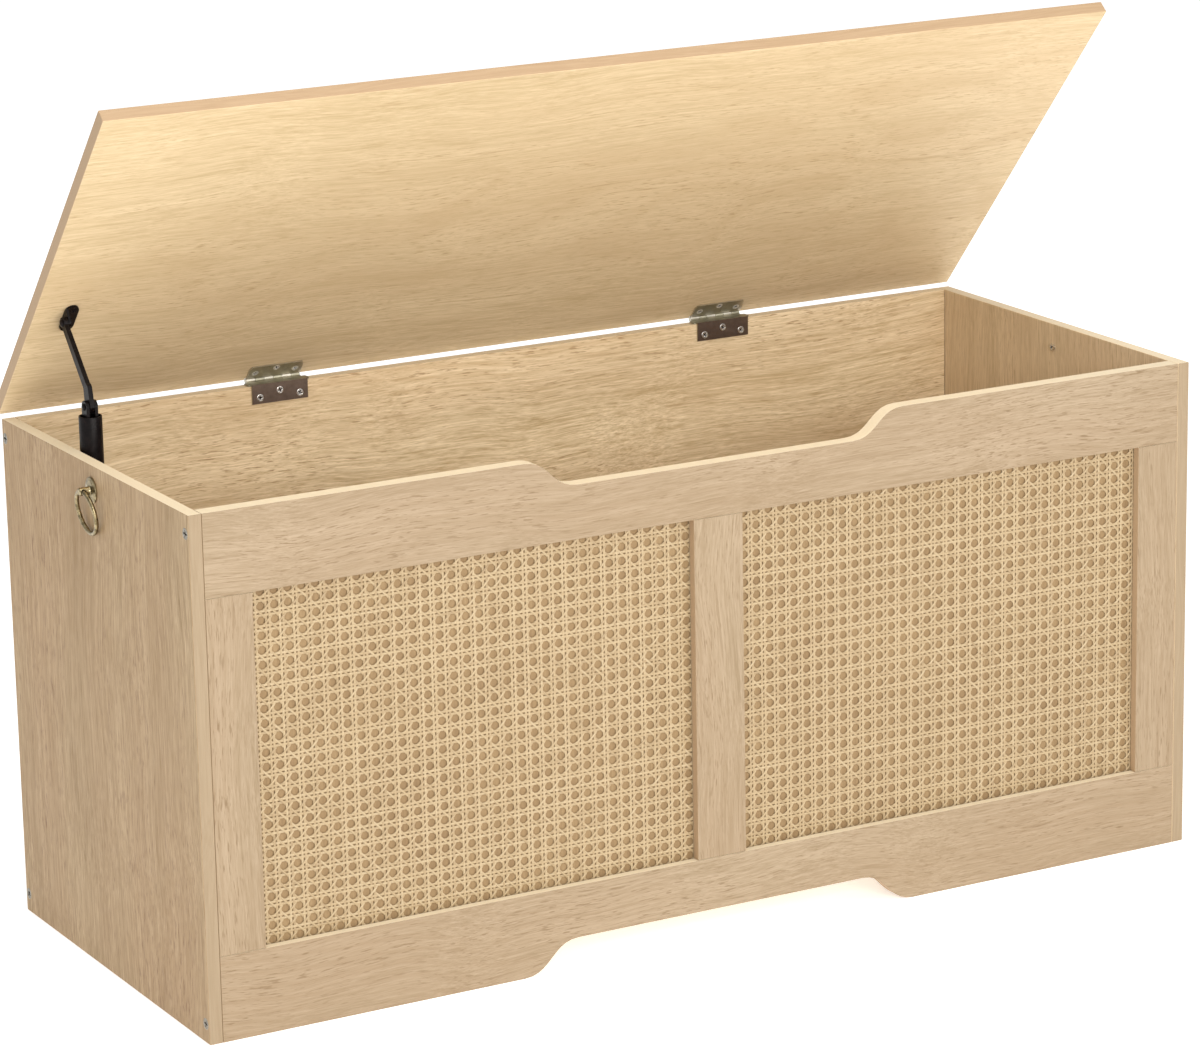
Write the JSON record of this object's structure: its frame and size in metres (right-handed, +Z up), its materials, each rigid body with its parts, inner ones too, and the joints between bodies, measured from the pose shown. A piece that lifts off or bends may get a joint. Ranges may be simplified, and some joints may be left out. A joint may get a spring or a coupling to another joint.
{
  "type": "toy box",
  "caption": "Lidded wooden toy box with woven cane front panels, a finger notch, ring pulls and a sliding lid stay.",
  "frame": {"origin": "centre of the whole object's footprint on the ground, with the lid open as stored", "axes": "+X along the box's length, towards the side without the stay; the cane front faces -Y; +Z up"},
  "size_m": [1.0248, 0.4128, 0.7728],
  "materials": {
    "oak_laminate": "satin light oak pattern laminate with fine straight grain",
    "woven_cane": "natural woven cane webbing, pale cream, low sheen",
    "backing_board": "matte tan board",
    "hinge_metal": "warm grey nickel plate, worn to satin",
    "screw_steel": "zinc plated steel, satin",
    "black_metal": "semi-gloss black",
    "antique_brass": "antique brass, polished on the raised edges"
  },
  "bodies": {
    "box": {"back_panel": "oak_laminate", "floor_panel": "oak_laminate", "front_bottom_rail": "oak_laminate", "front_centre_stile": "oak_laminate", "front_left_stile": "oak_laminate", "front_right_stile": "oak_laminate", "front_top_rail": "oak_laminate", "left_backing_board": "backing_board", "left_cane_panel": "woven_cane", "left_hinge_box_leaf": "hinge_metal", "left_hinge_box_screw_left": "screw_steel", "left_hinge_box_screw_middle": "screw_steel", "left_hinge_box_screw_right": "screw_steel", "left_hinge_pin": "hinge_metal", "left_pull_plate": "antique_brass", "left_pull_post": "antique_brass", "left_pull_screw": "screw_steel", "left_screw_back_bottom": "screw_steel", "left_screw_back_top": "screw_steel", "left_screw_front_bottom": "screw_steel", "left_screw_front_top": "screw_steel", "left_side_panel": "oak_laminate", "right_backing_board": "backing_board", "right_cane_panel": "woven_cane", "right_hinge_box_leaf": "hinge_metal", "right_hinge_box_screw_left": "screw_steel", "right_hinge_box_screw_middle": "screw_steel", "right_hinge_box_screw_right": "screw_steel", "right_hinge_pin": "hinge_metal", "right_pull_plate": "antique_brass", "right_pull_post": "antique_brass", "right_pull_screw": "screw_steel", "right_screw_back_bottom": "screw_steel", "right_screw_back_top": "screw_steel", "right_screw_front_bottom": "screw_steel", "right_screw_front_top": "screw_steel", "right_side_panel": "oak_laminate", "stay_guide_rod": "black_metal", "stay_wall_bracket": "black_metal", "stay_wall_screw_lower": "screw_steel", "stay_wall_screw_upper": "screw_steel"},
    "lid": {"lid_panel": "oak_laminate", "left_hinge_lid_leaf": "hinge_metal", "left_hinge_lid_screw_left": "screw_steel", "left_hinge_lid_screw_middle": "screw_steel", "left_hinge_lid_screw_right": "screw_steel", "right_hinge_lid_leaf": "hinge_metal", "right_hinge_lid_screw_left": "screw_steel", "right_hinge_lid_screw_middle": "screw_steel", "right_hinge_lid_screw_right": "screw_steel", "stay_lid_bracket": "black_metal", "stay_lid_screw_front": "screw_steel", "stay_lid_screw_rear": "screw_steel"},
    "stay_slider": {"stay_sleeve": "black_metal", "stay_fork": "black_metal", "stay_fork_pin": "screw_steel"},
    "stay_link": {"stay_arm": "black_metal", "stay_arm_rivet": "screw_steel"},
    "left_ring": {"left_pull_ring": "antique_brass"},
    "right_ring": {"right_pull_ring": "antique_brass"}
  },
  "joints": [
    {"name": "lid_hinge", "type": "hinge", "parent": "box", "child": "lid", "pos_m": [0, 0.19663, 0.4624], "axis": [-1, 0, 0], "range_deg": [-48.5, 0]},
    {"name": "stay_slide", "type": "slide", "parent": "box", "child": "stay_slider", "axis": [0, 0, 1], "range_m": [-0.132, 0.001]},
    {"name": "stay_arm_pivot", "type": "hinge", "parent": "stay_slider", "child": "stay_link", "pos_m": [-0.4755, 0.04863, 0.497], "axis": [-1, 0, 0], "range_deg": [-33, 0.5]},
    {"name": "left_ring_swing", "type": "hinge", "parent": "box", "child": "left_ring", "pos_m": [-0.509, -0.00637, 0.438], "axis": [0, 1, 0], "range_deg": [0, 110]},
    {"name": "right_ring_swing", "type": "hinge", "parent": "box", "child": "right_ring", "pos_m": [0.509, -0.00637, 0.438], "axis": [0, -1, 0], "range_deg": [0, 110]}
  ],
  "couplings": [
    {"joint": "stay_slide", "follows": "lid_hinge", "m_per_rad": 0.14631},
    {"joint": "stay_arm_pivot", "follows": "lid_hinge", "ratio": 0.64614}
  ]
}
